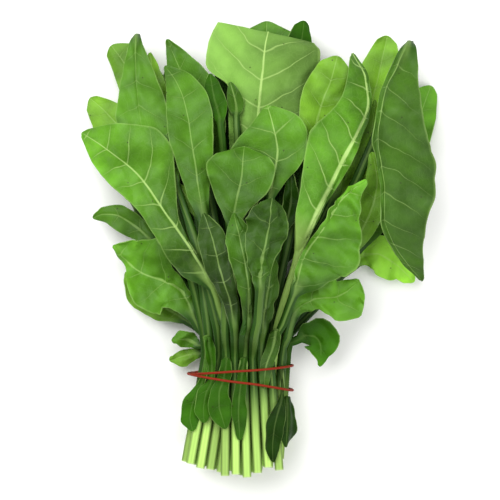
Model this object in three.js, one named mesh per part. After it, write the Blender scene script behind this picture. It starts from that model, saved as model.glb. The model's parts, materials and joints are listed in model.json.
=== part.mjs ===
// A tied bunch of leafy greens lying on its side: leaf tips toward +Y, cut stems toward -Y, +Z up.
// Millimetres. The bunch rests on the plane z = 0.
import * as THREE from 'three';

// ---- Driving dimensions ----
const NECK_Y = -87;              // the tie goes round the petioles here
const NECK_X = -12.5;            // middle of the neck
const NECK_HALF_WIDTH = 34.5;    // inside of the tie
const NECK_HALF_HEIGHT = 22.8;
const NECK_SQUARENESS = 0.8;     // below 1 the tie is fuller than an ellipse
const NECK_HEADROOM = 1.8;       // room under the tie for the short leaves above the petioles
const BAND_THICKNESS = 2.2;      // one strand of the elastic
const BAND_OVERLAP = 2.5;        // how far one strand rides over the other where they cross
const BAND_SPREAD = 8.7;         // half the distance between the two strands where they part most
const BAND_SLANT = 1.5;
const BAND_ABOVE_TABLE = 0.4;
const NECK_Z = NECK_HALF_HEIGHT + BAND_THICKNESS + BAND_ABOVE_TABLE;
const ROW_PITCH = 6.8;           // petioles are packed in six rows, one above the other
const TOP_LEVEL = 5;             // levels count from the lowest row (0) to the highest
const LOWEST_ROW = NECK_Z - NECK_HEADROOM - ROW_PITCH * TOP_LEVEL / 2;
const STEM_PACKING = 0.93;       // squeezes the petioles together sideways
const STEM_LENGTH = 65;          // from the neck to the cut ends
const STEM_LEAN = [-13, -4];     // how far the cut ends lie to the right of the neck: left and right side
const TOP_LEAN = [-5, 8];        // the same for the highest row, which fans out
const STEM_DROOP = 0.12;         // how much the cut stems sink below the neck
const PETIOLE_HALF_WIDTH = 2.8;
const PETIOLE_ROUND = [0.8, 1.6, 2.1, 2.2]; // half depths of a petiole from its side to its middle
const PETIOLE_GROOVE = 0.85;     // its upper face is flatter by this share along the middle
const PETIOLE_RIB = 1.1;         // half width of the part that becomes the midrib
const BLADE = 0.7;               // thickness of a blade
const BLADE_OPENS = 0.2;         // share of a blade along which the petiole flattens out into it
const RIB_HALF_WIDTH = 1.9;      // midrib where the blade begins
const RIB_DEPTH = 1.9;           // how far it stands out under the blade there
const RIB_TIP = 0.2;             // share of the midrib that is left at the tip
const SMALL_RIB = 0.7;           // share of it that a small leaf has
const RIB_SHARE = 0.4;           // a midrib is at most this share of half the blade
const CUP = 0.08;                // how steeply the margins of a blade rise
const PRESSED = 6;               // how far a leaf under the bunch is pressed down on the table
const CROWN_HEIGHT = 62;         // the leafy end over its middle
const CROWN_HALF_WIDTH = 140;
const CROWN_START = -5;          // along Y: the rows of the neck have turned into the dome here
const CROWN_FOOT = 0.5;          // its lowest level over the table
const RIM_HEIGHT = 0.08;         // squared share of its height that is left outside its rim
const TIPS_START = 70;           // along Y: the dome falls off from here
const TIPS_END = 165;
const TIPS_FALL = 0.5;           // share of its height that it loses
const NECK_END = NECK_Y + 12;    // the petioles run straight and close together as far as this
const HELD_END = NECK_Y + 14;    // nothing lifts a petiole before this
const FREE_START = NECK_Y + 27;  // leaves are laid over one another from here on
const TIE_START = NECK_Y + 13;   // a short leaf is held between these two, under the tie
const TIE_END = NECK_Y - 13;
const CLEARANCE = 0.5;           // least gap left between two leaves
const CELL = 0.8;                // grid on which the leaves are laid over one another
const ROUNDS = 14;               // most times that one leaf is raised
const CLOSE_ENOUGH = 0.01;
const ACROSS = 7;                // points across a leaf
const BLADE_STEPS = 8;           // stretches along a blade, for a large leaf, a small one and a folded one
const SMALL_STEPS = 6;
const TURNED_STEPS = 11;

// ---- Small helpers ----
const mix = (a, b, t) => a + (b - a) * t;
const clamp = (x, low, high) => Math.min(high, Math.max(low, x));

function ease(from, to, x) {
  const t = clamp((x - from) / (to - from), 0, 1);
  return t * t * (3 - 2 * t);
}

// Smooth curve through a list of numbers, read at u = 0..1.
function along(list, u) {
  const s = clamp(u, 0, 1) * (list.length - 1);
  const i = Math.min(list.length - 2, Math.floor(s));
  const t = s - i;
  const at = k => list[clamp(k, 0, list.length - 1)];
  const [a, b, c, d] = [at(i - 1), at(i), at(i + 1), at(i + 2)];
  return b + 0.5 * t * (c - a + t * (2 * a - 5 * b + 4 * c - d + t * (3 * (b - c) + d - a)));
}

// Height of a level at a place: flat rows in the neck, a low dome over the table in the leafy end.
function layerHeight(level, x, y) {
  const row = LOWEST_ROW + ROW_PITCH * level;
  const stem = row * (1 - STEM_DROOP * clamp((NECK_Y - y) / STEM_LENGTH, 0, 1));
  const across = Math.sqrt(Math.max(RIM_HEIGHT, 1 - (x / CROWN_HALF_WIDTH) ** 2));
  const endwise = 1 - TIPS_FALL * ease(TIPS_START, TIPS_END, y);
  const crown = CROWN_FOOT + (level / TOP_LEVEL) * CROWN_HEIGHT * across * endwise;
  return mix(stem, crown, ease(NECK_END, CROWN_START, y));
}

// ---- The leaves, from the table upward ----
// from: [x, level] in the neck. cut: where along Y the stem is cut. path: [x, y] or [x, y, level] up to
// the tip. blade: the path point where the blade begins. left, right: half widths from there to the tip.
// wave: [height, count, start] along the margins. underside: the lower face looks up. pressed: it lies on
// the table. hidden, small: a simpler blade will do. stem: false for a short leaf caught under the tie.
// turn: the path point where a leaf folds back, its hanging part laid after the leaf named in over.
const OVATE = [6, 21, 29, 31, 27, 16, 1.5];
const SLIM = [4, 13, 18, 19, 16, 9, 1.2];
const LEAVES = [
  // pressed on the table
  { name: 'under_middle', tone: 'dark', from: [-11, 0], cut: -152, blade: 0.6, hidden: true, pressed: true,
    path: [[-12, -30], [-8, 20], [0, 75], [4, 138]], left: OVATE, right: OVATE, wave: [5, 2, 0] },
  { name: 'under_left', tone: 'mid', from: [-18, 0], cut: -150, blade: 0.8, hidden: true, pressed: true,
    path: [[-30, -40], [-46, 0], [-65, 46], [-86, 98]], left: OVATE, right: OVATE, wave: [5, 2, 2] },
  { name: 'under_right', tone: 'mid', from: [-4, 0], cut: -151, blade: 0.8, hidden: true, pressed: true,
    path: [[14, -40], [38, 0], [64, 48], [92, 104]], left: OVATE, right: OVATE, wave: [5, 2, 4] },
  { name: 'under_far_left', tone: 'dark', from: [-25, 0], cut: -149, blade: 0.8, hidden: true,
    path: [[-42, -54], [-56, -30], [-70, -12], [-88, 6]], left: [4, 10, 13, 13, 11, 7, 1.2],
    right: [4, 10, 13, 13, 11, 7, 1.2], wave: [3, 2, 1] },
  { name: 'under_far_right', tone: 'dark', from: [3, 0], cut: -149, blade: 0.8, hidden: true,
    path: [[26, -50], [48, -20], [74, 20], [102, 64]], left: SLIM, right: SLIM, wave: [3, 2, 5] },
  { name: 'under_left_middle', tone: 'mid', from: [-21.5, 1], cut: -153, blade: 0.5, hidden: true,
    path: [[-28, -30], [-38, 20], [-52, 70], [-64, 130]], left: OVATE, right: OVATE, wave: [5, 2.5, 3] },
  { name: 'under_right_middle', tone: 'mid', from: [-7.5, 1], cut: -152, blade: 0.4, hidden: true,
    path: [[6, -30], [22, 20], [38, 70], [48, 128]], left: OVATE, right: OVATE, wave: [5, 2.5, 0] },
  { name: 'under_top', tone: 'dark', from: [-14.5, 1], cut: -154, blade: 0.3, hidden: true,
    path: [[-14, -30], [-14, 20], [-16, 75], [-18, 146]], left: OVATE, right: SLIM, wave: [5, 2.5, 5] },
  // seen only at the rim
  { name: 'low_left_bit', tone: 'bright', from: [-35.5, 1], cut: -147, blade: 0.1, small: true,
    path: [[-41, -74], [-52, -76], [-64, -79]],
    left: [3, 9, 9, 2], right: [3, 6, 6, 2], wave: [1, 1, 0] },
  { name: 'low_left_back', tone: 'bright', from: [-28.5, 1], cut: -149, blade: 0.5,
    path: [[-42, -58], [-64, -44], [-84, -32], [-95, -17]],
    left: [3, 9, 12, 12, 9, 1], right: [3, 8, 12, 11, 8, 1], wave: [2, 1.5, 0] },
  { name: 'right_low', tone: 'bright', from: [13.5, 1], cut: -149, blade: 1.3,
    path: [[32, -52], [58, -18], [77, -4], [94, -10], [109, -24]],
    left: [3, 10, 15, 16, 10, 1.5], right: [3, 9, 13, 14, 10, 1.5], wave: [2, 2, 1] },
  { name: 'right_back', tone: 'mid', from: [6.5, 1], cut: -149, blade: 1,
    path: [[30, -45], [70, 0], [100, 60], [114, 96], [121, 115]],
    left: [3, 14, 20, 19, 16, 13, 6], right: [3, 10, 14, 14, 13, 12, 5], wave: [3, 2, 3] },
  { name: 'left_back_tip', tone: 'bright', from: [-25, 2], cut: -151, blade: 1,
    path: [[-40, -35], [-62, 20], [-85, 66], [-105, 92], [-120, 106]],
    left: [3, 12, 20, 22, 20, 15, 6], right: [3, 12, 16, 16, 15, 11, 3], wave: [2, 2, 0] },
  { name: 'left_back_bright', tone: 'bright', from: [-18, 2], cut: -153, blade: 1,
    path: [[-34, -30], [-56, 30], [-76, 88], [-92, 124], [-105, 143]],
    left: [3, 10, 14, 14, 13, 11, 6], right: [3, 12, 17, 20, 21, 18, 10], wave: [2, 2, 2] },
  { name: 'top_back', tone: 'mid', from: [-11, 2], cut: -155, blade: 1,
    path: [[-10, -30], [-4, 40], [2, 110], [5, 160]],
    left: [3, 14, 20, 24, 24, 22, 8], right: [3, 14, 20, 27, 32, 33, 12], wave: [3, 2, 0] },
  { name: 'top_dark', tone: 'dark', from: [-4, 2], cut: -154, blade: 1,
    path: [[2, -30], [14, 40], [24, 105], [31, 160]],
    left: [3, 12, 17, 19, 17, 13, 5], right: [3, 12, 17, 19, 15, 9, 3], wave: [3, 2, 3] },
  { name: 'right_back_bright', tone: 'bright', from: [3, 2], cut: -153, blade: 1,
    path: [[15, -35], [48, 30], [76, 95], [90, 150]],
    left: [3, 12, 16, 18, 17, 13, 5], right: [3, 12, 16, 18, 17, 14, 6], wave: [3, 2, 1] },
  { name: 'right_strip', tone: 'bright', from: [17, 2], cut: -147, blade: 1, small: true,
    path: [[26, -45], [56, 10], [76, 70], [81, 104]],
    left: [3, 8, 10, 9, 6, 1], right: [3, 8, 9, 8, 5, 1], wave: [2, 2, 0] },
  { name: 'right_fold', tone: 'mid', from: [10, 2], cut: -151, blade: 4, turn: 4, over: 'right_broad',
    path: [[20, -50], [45, 0, 1.6], [78, 70, 1.5], [95, 122, 1.6], [105, 144, 3], [99, 134, 5],
      [85.5, 104, 5.3], [81, 72, 5.3], [86, 46, 5.2], [86, 20, 5], [95, -2, 4.6], [113, -23, 4]],
    left: [2, 4, 4, 3, 3, 3, 3, 3, 1.5], right: [2, 10, 22, 32, 39, 37, 30, 17, 1.5], wave: [2, 3, 0] },
  { name: 'low_left_point', tone: 'mid', from: [-39, 2], cut: -149, blade: 0.1, small: true,
    path: [[-43, -69], [-52, -64], [-62, -65]],
    left: [3, 7, 8, 2], right: [3, 8, 7, 2], wave: [1, 1, 2] },
  { name: 'left_middle', tone: 'mid', from: [-32, 2], cut: -150, blade: 1.5, small: true,
    path: [[-44, -45], [-62, -10], [-86, 14], [-104, 24], [-118, 21.5]],
    left: [2.5, 7, 10, 10, 7, 1], right: [2.5, 6, 8, 8, 6, 1], wave: [2, 2, 0] },
  // the middle of the bunch
  { name: 'left_tall', tone: 'mid', from: [-28.5, 3], cut: -153, blade: 4, turn: 4, over: 'left_strip',
    path: [[-34, -45, 2.6], [-50, 10, 2], [-70, 80, 2], [-80, 125, 2.2], [-86, 149, 3.2], [-87, 140, 4],
      [-86, 118, 4], [-84, 95, 3.6], [-80, 70, 3.2]],
    left: [1.5, 6, 11, 15, 18, 9], right: [1.5, 7, 14, 19, 22, 11], wave: [1.5, 2, 0] },
  { name: 'left_strip', tone: 'bright', from: [-21.5, 3], cut: -155, blade: 1.5,
    path: [[-32, -40], [-50, 10], [-66, 66], [-73, 104], [-77, 137]],
    left: [3, 9, 12, 12, 9, 1], right: [3, 9, 11, 10, 8, 1], wave: [2, 2, 0] },
  { name: 'left_dark', tone: 'mid', from: [-14.5, 3], cut: -156, blade: 1.3,
    path: [[-20, -40], [-32, 20], [-43, 80], [-53, 116], [-65.5, 147]],
    left: [3, 12, 15, 13, 9, 1], right: [3, 14, 20, 21, 14, 1], wave: [2, 2, 1] },
  { name: 'top_pale', tone: 'pale', from: [-0.5, 3], cut: -158, blade: 1, underside: true,
    path: [[-4, -30], [-5, 30], [-1, 96], [2, 125], [4, 144], [5.7, 151.5, 2.2]],
    left: [3, 14, 18, 20, 21, 23, 41, 41, 37], right: [3, 16, 22, 28, 33, 36, 41, 40, 33], wave: [2, 2, 0] },
  { name: 'top_small', tone: 'mid', from: [-7.5, 3], cut: -157, blade: 2.5, small: true,
    path: [[-10, -30], [-13, 40], [-16, 80], [-17, 100], [-21, 116]],
    left: [2, 5, 6, 5, 3.5, 1], right: [2, 5, 6, 5, 4, 1], wave: [1, 1, 0] },
  { name: 'right_inner', tone: 'bright', from: [6.5, 3], cut: -156, blade: 1.5,
    path: [[12, -30], [26, 30], [38.5, 84], [44, 103], [50, 118], [54, 134]],
    left: [3, 8, 12, 15, 16, 14, 8], right: [3, 9, 11, 12, 12, 11, 8], wave: [2, 2, 0] },
  { name: 'right_narrow', tone: 'bright', from: [13.5, 3], cut: -154, blade: 1.2,
    path: [[22, -45], [52, -14], [73, 16], [82, 42], [78, 67]],
    left: [3, 9, 10, 10, 8, 2], right: [3, 7, 9, 9, 8, 2], wave: [2, 2, 0] },
  { name: 'left_droop', tone: 'mid', from: [-35.5, 3], cut: -152, blade: 0.3,
    path: [[-42, -58], [-54, -32], [-68, -23], [-86, -16], [-103, 2, 2.4]],
    left: [4, 16, 27, 22, 4, 1.5], right: [3, 5, 12, 30, 27, 1.5], wave: [3, 2, 0] },
  { name: 'left_slender', tone: 'pale', from: [-42.5, 3], cut: -150, blade: 1.8, small: true,
    path: [[-45, -40], [-51, 0], [-57, 30], [-61, 62]],
    left: [1.5, 3, 4, 3, 1], right: [1.5, 3, 3.5, 3, 1], wave: [0.5, 1, 0] },
  { name: 'left_small_light', tone: 'bright', from: [-39, 4], cut: -151, blade: 1.8, small: true,
    path: [[-40, -40, 3.6], [-41, 0, 3.4], [-44, 24, 3.4], [-51, 36, 3.6], [-57, 44, 3.6]],
    left: [2, 4, 6, 5, 1], right: [2, 4, 6, 5, 1], wave: [0.5, 1, 0] },
  { name: 'left_inner_small', tone: 'mid', from: [-32, 4], cut: -154, blade: 2.2, small: true,
    path: [[-34, -40, 3.8], [-44, 4, 3.6], [-56, 38, 3.6], [-62, 60, 3.6], [-65, 79, 3.6]],
    left: [2, 6, 8, 6, 1], right: [2, 4, 5, 4, 1], wave: [1, 1, 0] },
  { name: 'left_broad', tone: 'mid', from: [-25, 4], cut: -155, blade: 1,
    path: [[-27, -50], [-33, -28], [-42, -10], [-55, 10], [-66, 24], [-84, 50], [-104, 67], [-125, 81]],
    left: [3, 14, 18, 16, 15, 15, 18, 19, 18, 12, 2], right: [3, 3, 3, 3, 8, 17, 28, 34, 27, 16, 2],
    wave: [2, 2, 0] },
  { name: 'centre_dark', tone: 'dark', from: [3, 4], cut: -157, blade: 1.3, small: true,
    path: [[4, -40], [12, 0], [21, 28], [21, 54]],
    left: [2, 5, 7, 6, 4, 1], right: [2, 5, 7, 6, 4, 1], wave: [1, 1, 0] },
  { name: 'top_small_left', tone: 'dark', from: [-11, 4], cut: -156, blade: 2, small: true,
    path: [[-16, -30], [-22, 30], [-27, 85], [-32, 105], [-35, 122]],
    left: [2, 5, 7, 7, 5, 1], right: [2, 5, 8, 7, 5, 1], wave: [1, 1, 1] },
  { name: 'centre_broad', tone: 'mid', from: [-4, 4], cut: -159, blade: 1.6,
    path: [[-4, -40], [3, 10], [8.5, 46], [12, 64], [11, 76], [7, 92], [5, 99]],
    left: [3, 9, 22, 34, 33, 29, 14, 2], right: [3, 7, 12, 18, 22, 22, 16, 2], wave: [2, 2, 0] },
  { name: 'front_long', tone: 'mid', from: [-18, 4], cut: -157, blade: 2,
    path: [[-24, -40], [-33, -4], [-39, 20], [-43, 45], [-47, 70], [-51, 95], [-57, 113], [-66.5, 127]],
    left: [4, 9, 12, 15, 15, 10, 1], right: [3, 7, 12, 16, 18, 14, 1.5], wave: [2, 2, 0] },
  { name: 'right_broad', tone: 'mid', from: [10, 4], cut: -153, blade: 2,
    path: [[13, -50], [19.5, -29], [27, -4], [35, 14], [46, 37], [56, 57], [66.5, 78], [75.5, 98], [74, 118],
      [64.5, 136.5]],
    left: [3, 12, 18, 25, 31, 24, 21, 15, 1.5], right: [2, 2.5, 3, 5, 6, 3.5, 2.5, 2.5, 1.5],
    wave: [2, 2, 0] },
  // the front of the bunch
  { name: 'right_low_dark', tone: 'dark', from: [20.3, 3], cut: -148, blade: 0.3, small: true,
    path: [[25, -66], [34, -61], [42, -66], [42, -83]],
    left: [3, 12, 18, 13, 7, 1], right: [3, 10, 13, 11, 6, 1], wave: [1, 1, 0] },
  { name: 'right_low_lobe', tone: 'mid', from: [17, 4], cut: -150, blade: 0.8,
    path: [[18, -66], [24, -44], [40, -35], [56, -33], [69, -22]],
    left: [3, 10, 14, 14, 10, 1.5], right: [3, 7, 9, 17, 20, 2], wave: [2, 2, 0] },
  { name: 'right_front', tone: 'mid', from: [9.4, 5], cut: -155, blade: 2,
    path: [[12, -66], [16.5, -50], [22, -33], [30, -7], [38, 5], [49, 22], [60, 37], [74, 47]],
    left: [2, 2.5, 3, 3, 3, 3, 1.5], right: [4, 26, 35, 37, 25, 13, 2], wave: [2, 2, 0] },
  { name: 'centre_low', tone: 'mid', from: [-24.6, 5], cut: -159, blade: 2,
    path: [[-25, -44], [-21, 0], [-19, 14], [-17, 30], [-13, 48], [-11, 70]],
    left: [4, 9, 16, 22, 25, 24, 8], right: [4, 8, 13, 20, 23, 22, 8], wave: [2, 2, 0] },
  { name: 'front_left', tone: 'mid', from: [-17.8, 5], cut: -158, blade: 0,
    path: [[-18, -55], [-21, -36], [-27, -16], [-32, 5], [-39, 24]],
    left: [3, 5, 7, 10, 12, 10, 1], right: [3, 6, 8, 10, 11, 9, 1], wave: [2, 2, 0] },
  { name: 'centre_left_front', tone: 'mid', from: [-11, 5], cut: -160, blade: 0,
    path: [[-9, -54], [-8, -36], [-9, -20], [-13, 2], [-18, 24]],
    left: [3, 5, 7, 10, 12, 10, 1], right: [3, 6, 8, 11, 13, 10, 1], wave: [2, 2, 0] },
  { name: 'centre_strap', tone: 'mid', from: [2.6, 5], cut: -153, blade: 0, small: true,
    path: [[1, -58], [5, -32], [9, -4]],
    left: [3, 7, 8, 7, 1], right: [3, 6, 7, 6, 1], wave: [1, 1, 0] },
  { name: 'centre_crumpled', tone: 'mid', from: [-4.2, 5], cut: -157, blade: 0.5,
    path: [[-2, -50], [1, -12], [5, 10], [8, 34]],
    left: [3, 8, 14, 17, 15, 5], right: [3, 7, 11, 14, 13, 5], wave: [4, 3, 0] },
  // short leaves that hang out below the tie
  { name: 'drop_outer_right', tone: 'dark', stem: false, blade: 0,
    path: [[18.5, -103, 3.4], [19, -112, 3.5], [19, -124, 3.4], [18, -139, 3]],
    left: [2, 6, 7.5, 1], right: [2, 6, 8, 1], wave: [0.5, 1, 0] },
  { name: 'drop_outer_left', tone: 'dark', stem: false, blade: 0,
    path: [[-37, -76, 4.7], [-39, -90, 4.6], [-45, -104, 4], [-49, -116, 3.5], [-47, -128, 3.4]],
    left: [0.8, 2, 3, 7, 8, 2], right: [0.8, 2, 4, 8, 8, 2], wave: [1, 1, 0] },
  { name: 'drop_left', tone: 'dark', stem: false, blade: 0,
    path: [[-37, -61, 4.9], [-34.5, -74, 5], [-33.5, -90, 5], [-39, -106, 4.9], [-39, -122, 4.8]],
    left: [2, 4.5, 2.5, 2.5, 7, 7, 2], right: [2, 4.5, 2.5, 2.5, 7, 7, 2], wave: [1, 1, 0] },
  { name: 'drop_inner_left', tone: 'dark', stem: false, blade: 0,
    path: [[-23, -76, 5.7], [-25, -90, 5.5], [-29, -106, 5.4], [-24, -126, 5.2]],
    left: [3, 5.5, 5.5, 9, 8, 1.5], right: [3, 5, 5.5, 8, 8, 1.5], wave: [1, 1, 0] },
  { name: 'drop_middle', tone: 'dark', stem: false, blade: 0,
    path: [[-11, -76, 5.75], [-13, -92, 5.5], [-15, -112, 5.4], [-14, -134, 5.2]],
    left: [2.5, 4, 4.5, 6, 6, 1.5], right: [2.5, 3.5, 4, 5, 5, 1.5], wave: [1, 1, 0] },
  { name: 'drop_light', tone: 'mid', stem: false, blade: 0,
    path: [[11, -57, 5.6], [9, -69, 5.6], [4, -83, 5.6], [3, -98, 5.5]],
    left: [4, 5, 5, 5, 2], right: [4, 5, 5, 4, 2], wave: [1, 1, 0] },
  { name: 'drop_right', tone: 'dark', stem: false, blade: 0,
    path: [[15, -82, 4.75], [15.3, -92, 4.75], [15.5, -102, 4.75], [12, -116, 5.2], [9, -132, 5.4],
      [9, -149, 5.3]],
    left: [1.2, 1.2, 2, 7, 7.5, 6, 1.5], right: [1.2, 1.2, 2, 5, 7, 6, 1.5], wave: [0.5, 1, 0] },
];

const TONES = { mid: 0x5f9a3c, bright: 0x86bd3c, dark: 0x3d6f2a, pale: 0x8fb86a };
const LEAF_ROUGHNESS = 0.5;
const BAND_COLOUR = 0xa63a22;
const BAND_ROUGHNESS = 0.6;

// Line of a leaf from its cut end to its tip, as [x, y, level] control points.
function controlPoints(leaf) {
  if (leaf.stem === false) return leaf.path;
  const [slot, level] = leaf.from;
  const x = NECK_X + STEM_PACKING * (slot - NECK_X);
  const side = (x - NECK_X) / (2 * NECK_HALF_WIDTH) + 0.5;
  const lean = mix(...(level === TOP_LEVEL ? TOP_LEAN : STEM_LEAN), side) / STEM_LENGTH;
  return [
    [x + lean * (NECK_Y - leaf.cut), leaf.cut, level],
    [x - lean * (NECK_END - NECK_Y), NECK_END, level],
    ...leaf.path.map(([px, py, l = level]) => [px, py, l]),
  ];
}

// Numbers of the cross lines of a leaf: how many stretches its bare stem and its blade take.
function stretchesOf(leaf) {
  if (leaf.turn) return { stem: 5, blade: TURNED_STEPS };
  const simple = leaf.small || leaf.hidden || leaf.stem === false;
  return { stem: 2, blade: simple ? SMALL_STEPS : BLADE_STEPS };
}

// Cross lines of a leaf: the place, the sideways direction and the share v of its blade there.
function crossLines(leaf) {
  const LEVEL_LENGTH = 12;  // a change of one level counts as this much length
  const PARTING = 1.45;     // the petioles part here, between the neck and the leaf's own path
  const SAMPLES = 240;
  const NEAR = 0.05;        // the way a leaf runs at a place is measured this far to either side
  const TURN_START = 1.5;   // the cross lines of a fold are set square over this much path before it
  const TURN_END = 0.5;
  const points = controlPoints(leaf);
  const last = points.length - 1;
  const stemPoints = points.length - leaf.path.length;
  const place = s => [0, 1, 2].map(k => along(points.map(p => p[k]), s / last));
  const start = stemPoints + leaf.blade;
  const steps = stretchesOf(leaf);
  const marks = [];
  if (stemPoints) {
    marks.push({ s: 0 }, { s: 1 });
    for (let k = 0; k < steps.stem; k++) marks.push({ s: mix(PARTING, start, k / steps.stem) });
  }
  const lengths = [0];
  for (let k = 1; k <= SAMPLES; k++) {
    const [a, b] = [place(mix(start, last, (k - 1) / SAMPLES)), place(mix(start, last, k / SAMPLES))];
    lengths.push(lengths[k - 1] + Math.hypot(b[0] - a[0], b[1] - a[1], LEVEL_LENGTH * (b[2] - a[2])));
  }
  for (let k = 0; k <= steps.blade; k++) {
    const reached = lengths.findIndex(length => length >= lengths[SAMPLES] * k / steps.blade - 1e-9);
    marks.push({ s: mix(start, last, (reached < 0 ? SAMPLES : reached) / SAMPLES), v: k / steps.blade });
  }
  return marks.map(({ s, v }) => {
    const [x, y, level] = place(s);
    const [a, b] = [place(Math.max(0, s - NEAR)), place(Math.min(last, s + NEAR))];
    const reach = Math.hypot(b[0] - a[0], b[1] - a[1]);
    let side = [(a[1] - b[1]) / reach, (b[0] - a[0]) / reach];
    if (leaf.turn) {
      const fold = stemPoints + leaf.turn;
      const turned = ease(fold - TURN_START, fold - TURN_END, s);
      side = [mix(side[0], -1, turned), mix(side[1], 0, turned)];
    }
    return { x, y, level, side, v };
  });
}

// Height of a point of a leaf before it is laid: w and share say how far it is from the midrib.
function freeHeight(leaf, line, x, y, w, share) {
  const OTHER_SIDE = 2.1;  // the two margins wave out of step
  const [height, count, begin] = leaf.wave;
  const v = line.v ?? 0;
  const opened = ease(0, BLADE_OPENS, v);
  const phase = w > 0 ? begin : begin + OTHER_SIDE;
  const ripple = height * share * share * Math.sin(2 * Math.PI * count * v + phase);
  const z = layerHeight(line.level, x, y) + opened * (CUP * Math.abs(w) * Math.abs(share) + ripple);
  return leaf.pressed && line.v !== undefined ? Math.max(BLADE / 2, z - PRESSED * opened) : z;
}

// Middle surface of a leaf: points across at each cross line, from the left margin to the right, and
// the half thickness of the plain and of the ribbed face at each of them.
function middleSurface(leaf) {
  const ribShare = leaf.small || leaf.stem === false ? SMALL_RIB : 1;
  return crossLines(leaf).map(line => {
    const { x, y, side, v } = line;
    const inBlade = v !== undefined;
    const left = inBlade ? along(leaf.left, v) : PETIOLE_HALF_WIDTH;
    const right = inBlade ? along(leaf.right, v) : PETIOLE_HALF_WIDTH;
    const ribSize = inBlade ? ribShare * mix(1, RIB_TIP, v) : 0;
    const widest = RIB_SHARE * Math.min(left, right);
    const rib = Math.min(widest, inBlade ? ribSize * RIB_HALF_WIDTH : PETIOLE_RIB);
    const across = [left, (left + rib) / 2, rib, 0, -rib, -(right + rib) / 2, -right];
    const points = across.map(w => {
      const [px, py] = [x + side[0] * w, y + side[1] * w];
      return [px, py, freeHeight(leaf, line, px, py, w, w > 0 ? w / left : w / right)];
    });
    const opened = inBlade ? ease(0, BLADE_OPENS, v) : 0;
    const half = across.map((_, j) => {
      const k = Math.min(j, ACROSS - 1 - j);
      const round = PETIOLE_ROUND[k];
      const depth = k === 3 ? ribSize * RIB_DEPTH : 0;
      return {
        plain: mix(k > 1 ? round * PETIOLE_GROOVE : round, BLADE / 2, opened),
        ribbed: mix(round, BLADE / 2 + depth, opened),
      };
    });
    return { points, half, y };
  });
}

// Both faces of a leaf, from its middle surface and the lift given to each point of it.
function faces(leaf, rows, lift) {
  const at = (i, j) => {
    const [m, n] = [clamp(i, 0, rows.length - 1), clamp(j, 0, ACROSS - 1)];
    const p = rows[m].points[n];
    return [p[0], p[1], p[2] + lift[m][n]];
  };
  const upper = [];
  const lower = [];
  rows.forEach((row, i) => row.points.forEach((_, j) => {
    const [a, b, c, d] = [at(i + 1, j), at(i - 1, j), at(i, j + 1), at(i, j - 1)];
    const u = [a[0] - b[0], a[1] - b[1], a[2] - b[2]];
    const w = [c[0] - d[0], c[1] - d[1], c[2] - d[2]];
    const n = [w[1] * u[2] - w[2] * u[1], w[2] * u[0] - w[0] * u[2], w[0] * u[1] - w[1] * u[0]];
    const size = Math.hypot(...n);
    const p = at(i, j);
    const { plain, ribbed } = row.half[j];
    const [up, down] = leaf.underside || leaf.pressed ? [ribbed, plain] : [plain, ribbed];
    upper.push(p.map((q, k) => q + n[k] / size * up));
    const below = p.map((q, k) => q - n[k] / size * down);
    if (leaf.pressed && below[2] < BLADE) below[2] = 0;
    lower.push(below);
  }));
  return [upper, lower];
}

// ---- Laying the leaves over one another ----
const FIELD = { x: -160, y: -180, columns: 400, rows: 450 };
const noLift = rows => rows.map(() => new Array(ACROSS).fill(0));
const heights = new Float64Array(FIELD.columns * FIELD.rows).fill(-CLEARANCE);
const cellOf = (x, y) => Math.floor((y - FIELD.y) / CELL) * FIELD.columns + Math.floor((x - FIELD.x) / CELL);

// Indices of the four corners of patch j between cross lines i and i + 1.
const cornersOf = (i, j) => [0, 1, ACROSS, ACROSS + 1].map(step => ACROSS * i + j + step);

// Calls visit([x, y, z], corners) for points all over both faces between two cross lines.
function sweep(surfaces, first, last, visit) {
  for (const face of surfaces) {
    for (let i = first; i < last; i++) {
      for (let j = 0; j < ACROSS - 1; j++) {
        const corners = cornersOf(i, j);
        const [a, b, c, d] = corners.map(k => face[k]);
        const m = Math.ceil(Math.max(Math.hypot(a[0] - b[0], a[1] - b[1]),
          Math.hypot(c[0] - d[0], c[1] - d[1])) / CELL) + 1;
        const n = Math.ceil(Math.max(Math.hypot(a[0] - c[0], a[1] - c[1]),
          Math.hypot(b[0] - d[0], b[1] - d[1])) / CELL) + 1;
        for (let p = 0; p <= m; p++) {
          for (let q = 0; q <= n; q++) {
            const [s, t] = [p / m, q / n];
            const spot = [0, 1, 2].map(k => (s + t <= 1
              ? a[k] + s * (b[k] - a[k]) + t * (c[k] - a[k])
              : d[k] + (1 - s) * (c[k] - d[k]) + (1 - t) * (b[k] - d[k])));
            visit(spot, corners);
          }
        }
      }
    }
  }
}

// Raises part of a leaf until it clears all that lies under it, then adds it to the pile.
function lay(leaf, rows, lift, first, last) {
  const underTie = y => y > TIE_END && y < TIE_START;
  const held = i => (leaf.stem === false ? underTie(rows[i].y) : rows[i].y < HELD_END);
  for (let round = 0; round < ROUNDS; round++) {
    const surfaces = faces(leaf, rows, lift);
    const need = noLift(rows);
    let worst = 0;
    sweep(surfaces, first, last, ([x, y, z], corners) => {
      if (leaf.stem !== false && y < FREE_START) return;
      const short = heights[cellOf(x, y)] + CLEARANCE - z;
      if (short <= 0) return;
      worst = Math.max(worst, short);
      for (const k of corners) {
        const [i, j] = [Math.floor(k / ACROSS), k % ACROSS];
        need[i][j] = Math.max(need[i][j], short);
      }
    });
    if (worst < CLOSE_ENOUGH) break;
    for (let i = first; i <= last; i++) {
      for (let j = 0; j < ACROSS; j++) lift[i][j] += need[i][j];
    }
    relax(lift, first, last, held);
  }
  for (let i = last + 1; i < rows.length; i++) lift[i] = [...lift[last]];
  sweep(faces(leaf, rows, lift), first, last, ([x, y, z]) => {
    const k = cellOf(x, y);
    for (const step of [0, 1, -1, FIELD.columns, -FIELD.columns]) {
      heights[k + step] = Math.max(heights[k + step], z);
    }
  });
}

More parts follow.
